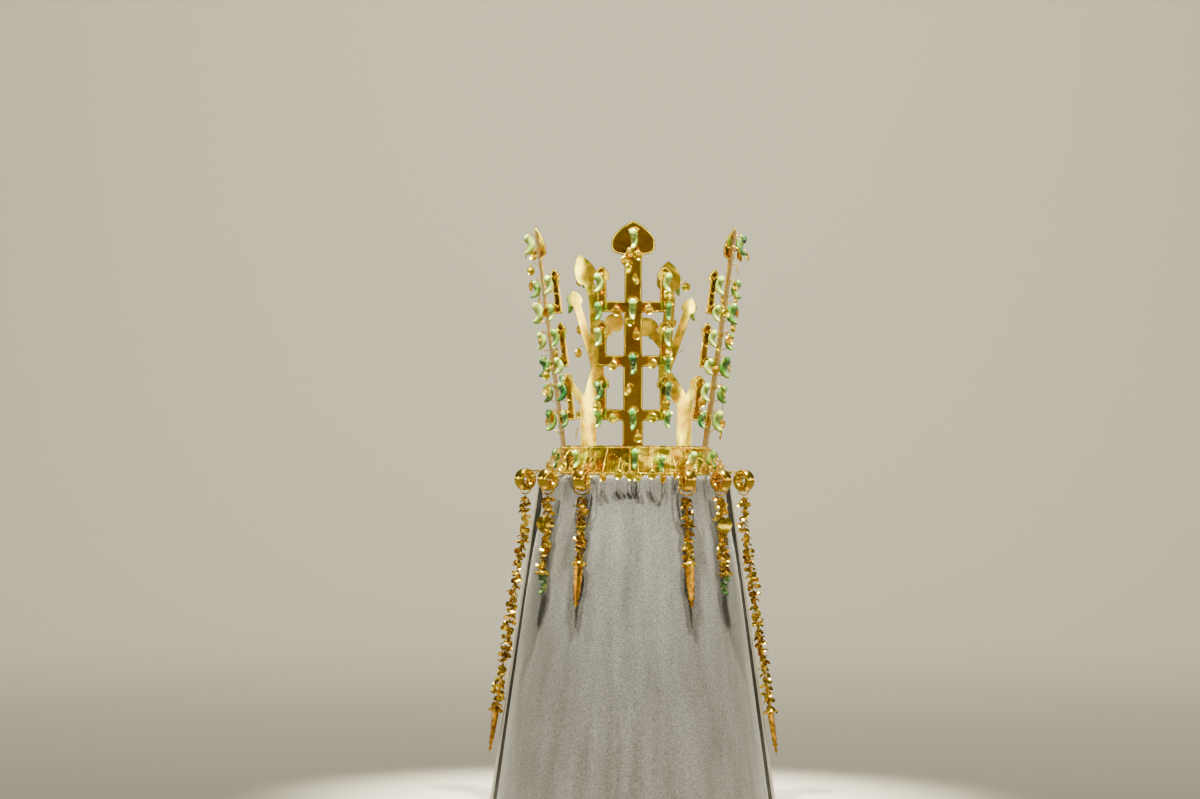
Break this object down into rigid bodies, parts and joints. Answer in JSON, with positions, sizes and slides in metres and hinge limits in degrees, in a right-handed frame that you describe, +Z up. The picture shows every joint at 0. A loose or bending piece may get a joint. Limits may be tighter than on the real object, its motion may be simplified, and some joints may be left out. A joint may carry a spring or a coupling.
{
  "type": "gold crown on a display stand",
  "caption": "Ancient gold crown with tree-shaped and antler-shaped uprights, comma-shaped green jades and hanging pendants, on a tapered cloth-covered stand.",
  "frame": {"origin": "centre of the stand's underside", "axes": "+Z up; -Y towards the front of the crown; +X towards the wearer's left"},
  "size_m": [0.3194, 0.2694, 0.6384],
  "materials": {
    "gold": "bright hammered sheet gold",
    "jade": "polished, slightly translucent",
    "felt": "matt felt-like cloth bonded to a rigid form"
  },
  "bodies": {
    "root": {"display_stand": "felt", "headband": "gold", "headband_jade": "jade", "front_tree": "gold", "front_tree_jade_1": "jade", "front_tree_jade_2": "jade", "front_tree_jade_3": "jade", "front_tree_jade_4": "jade", "front_tree_jade_5": "jade", "front_tree_jade_6": "jade", "front_tree_jade_7": "jade", "front_tree_jade_8": "jade", "front_tree_jade_9": "jade", "front_tree_jade_10": "jade", "front_tree_jade_11": "jade", "front_tree_jade_12": "jade", "front_tree_jade_13": "jade", "front_tree_jade_14": "jade", "left_tree": "gold", "left_tree_jade_1": "jade", "left_tree_jade_2": "jade", "left_tree_jade_3": "jade", "left_tree_jade_4": "jade", "left_tree_jade_5": "jade", "left_tree_jade_6": "jade", "left_tree_jade_7": "jade", "left_tree_jade_8": "jade", "right_tree": "gold", "right_tree_jade_1": "jade", "right_tree_jade_2": "jade", "right_tree_jade_3": "jade", "right_tree_jade_4": "jade", "right_tree_jade_5": "jade", "right_tree_jade_6": "jade", "right_tree_jade_7": "jade", "right_tree_jade_8": "jade", "left_antler": "gold", "left_antler_jade_1": "jade", "left_antler_jade_2": "jade", "right_antler": "gold", "right_antler_jade_1": "jade", "right_antler_jade_2": "jade", "left_outer_ring": "gold", "left_outer_chain": "gold", "left_outer_lance": "gold", "left_middle_ring": "gold", "left_middle_chain": "gold", "left_middle_jade": "jade", "left_inner_ring": "gold", "left_inner_chain": "gold", "left_inner_lance": "gold", "right_outer_ring": "gold", "right_outer_chain": "gold", "right_outer_lance": "gold", "right_middle_ring": "gold", "right_middle_chain": "gold", "right_middle_jade": "jade", "right_inner_ring": "gold", "right_inner_chain": "gold", "right_inner_lance": "gold"}
  },
  "joints": []
}
